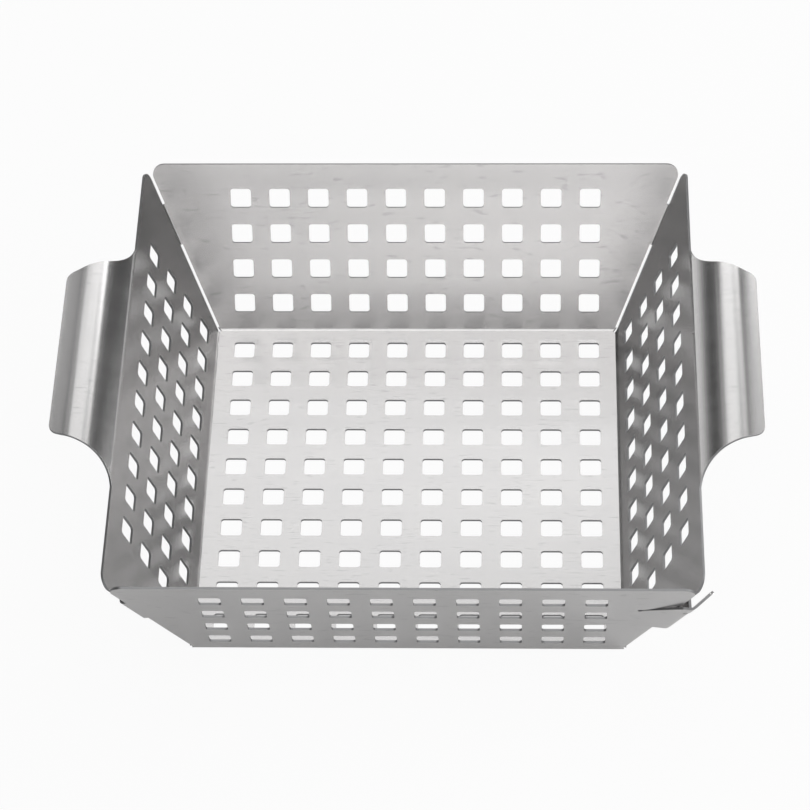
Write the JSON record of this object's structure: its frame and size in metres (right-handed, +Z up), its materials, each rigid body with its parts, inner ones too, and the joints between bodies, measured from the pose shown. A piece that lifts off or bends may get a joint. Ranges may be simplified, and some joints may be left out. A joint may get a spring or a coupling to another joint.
{
  "type": "grill basket",
  "caption": "Open square grill basket in perforated brushed stainless sheet, with leaning walls and two side handles.",
  "frame": {"origin": "centre of the floor's underside, in the plane that the basket stands on", "axes": "+X towards the right handle, +Y towards the back wall, +Z up"},
  "size_m": [0.2892, 0.2368, 0.0858],
  "materials": {
    "brushed_sheet": "satin, brushed along one direction"
  },
  "bodies": {
    "root": {"floor_panel": "brushed_sheet", "back_wall": "brushed_sheet", "front_wall": "brushed_sheet", "left_wall": "brushed_sheet", "right_wall": "brushed_sheet", "left_handle": "brushed_sheet", "right_handle": "brushed_sheet", "corner_tab_back_left": "brushed_sheet", "corner_tab_back_right": "brushed_sheet", "corner_tab_front_left": "brushed_sheet", "corner_tab_front_right": "brushed_sheet"}
  },
  "joints": []
}
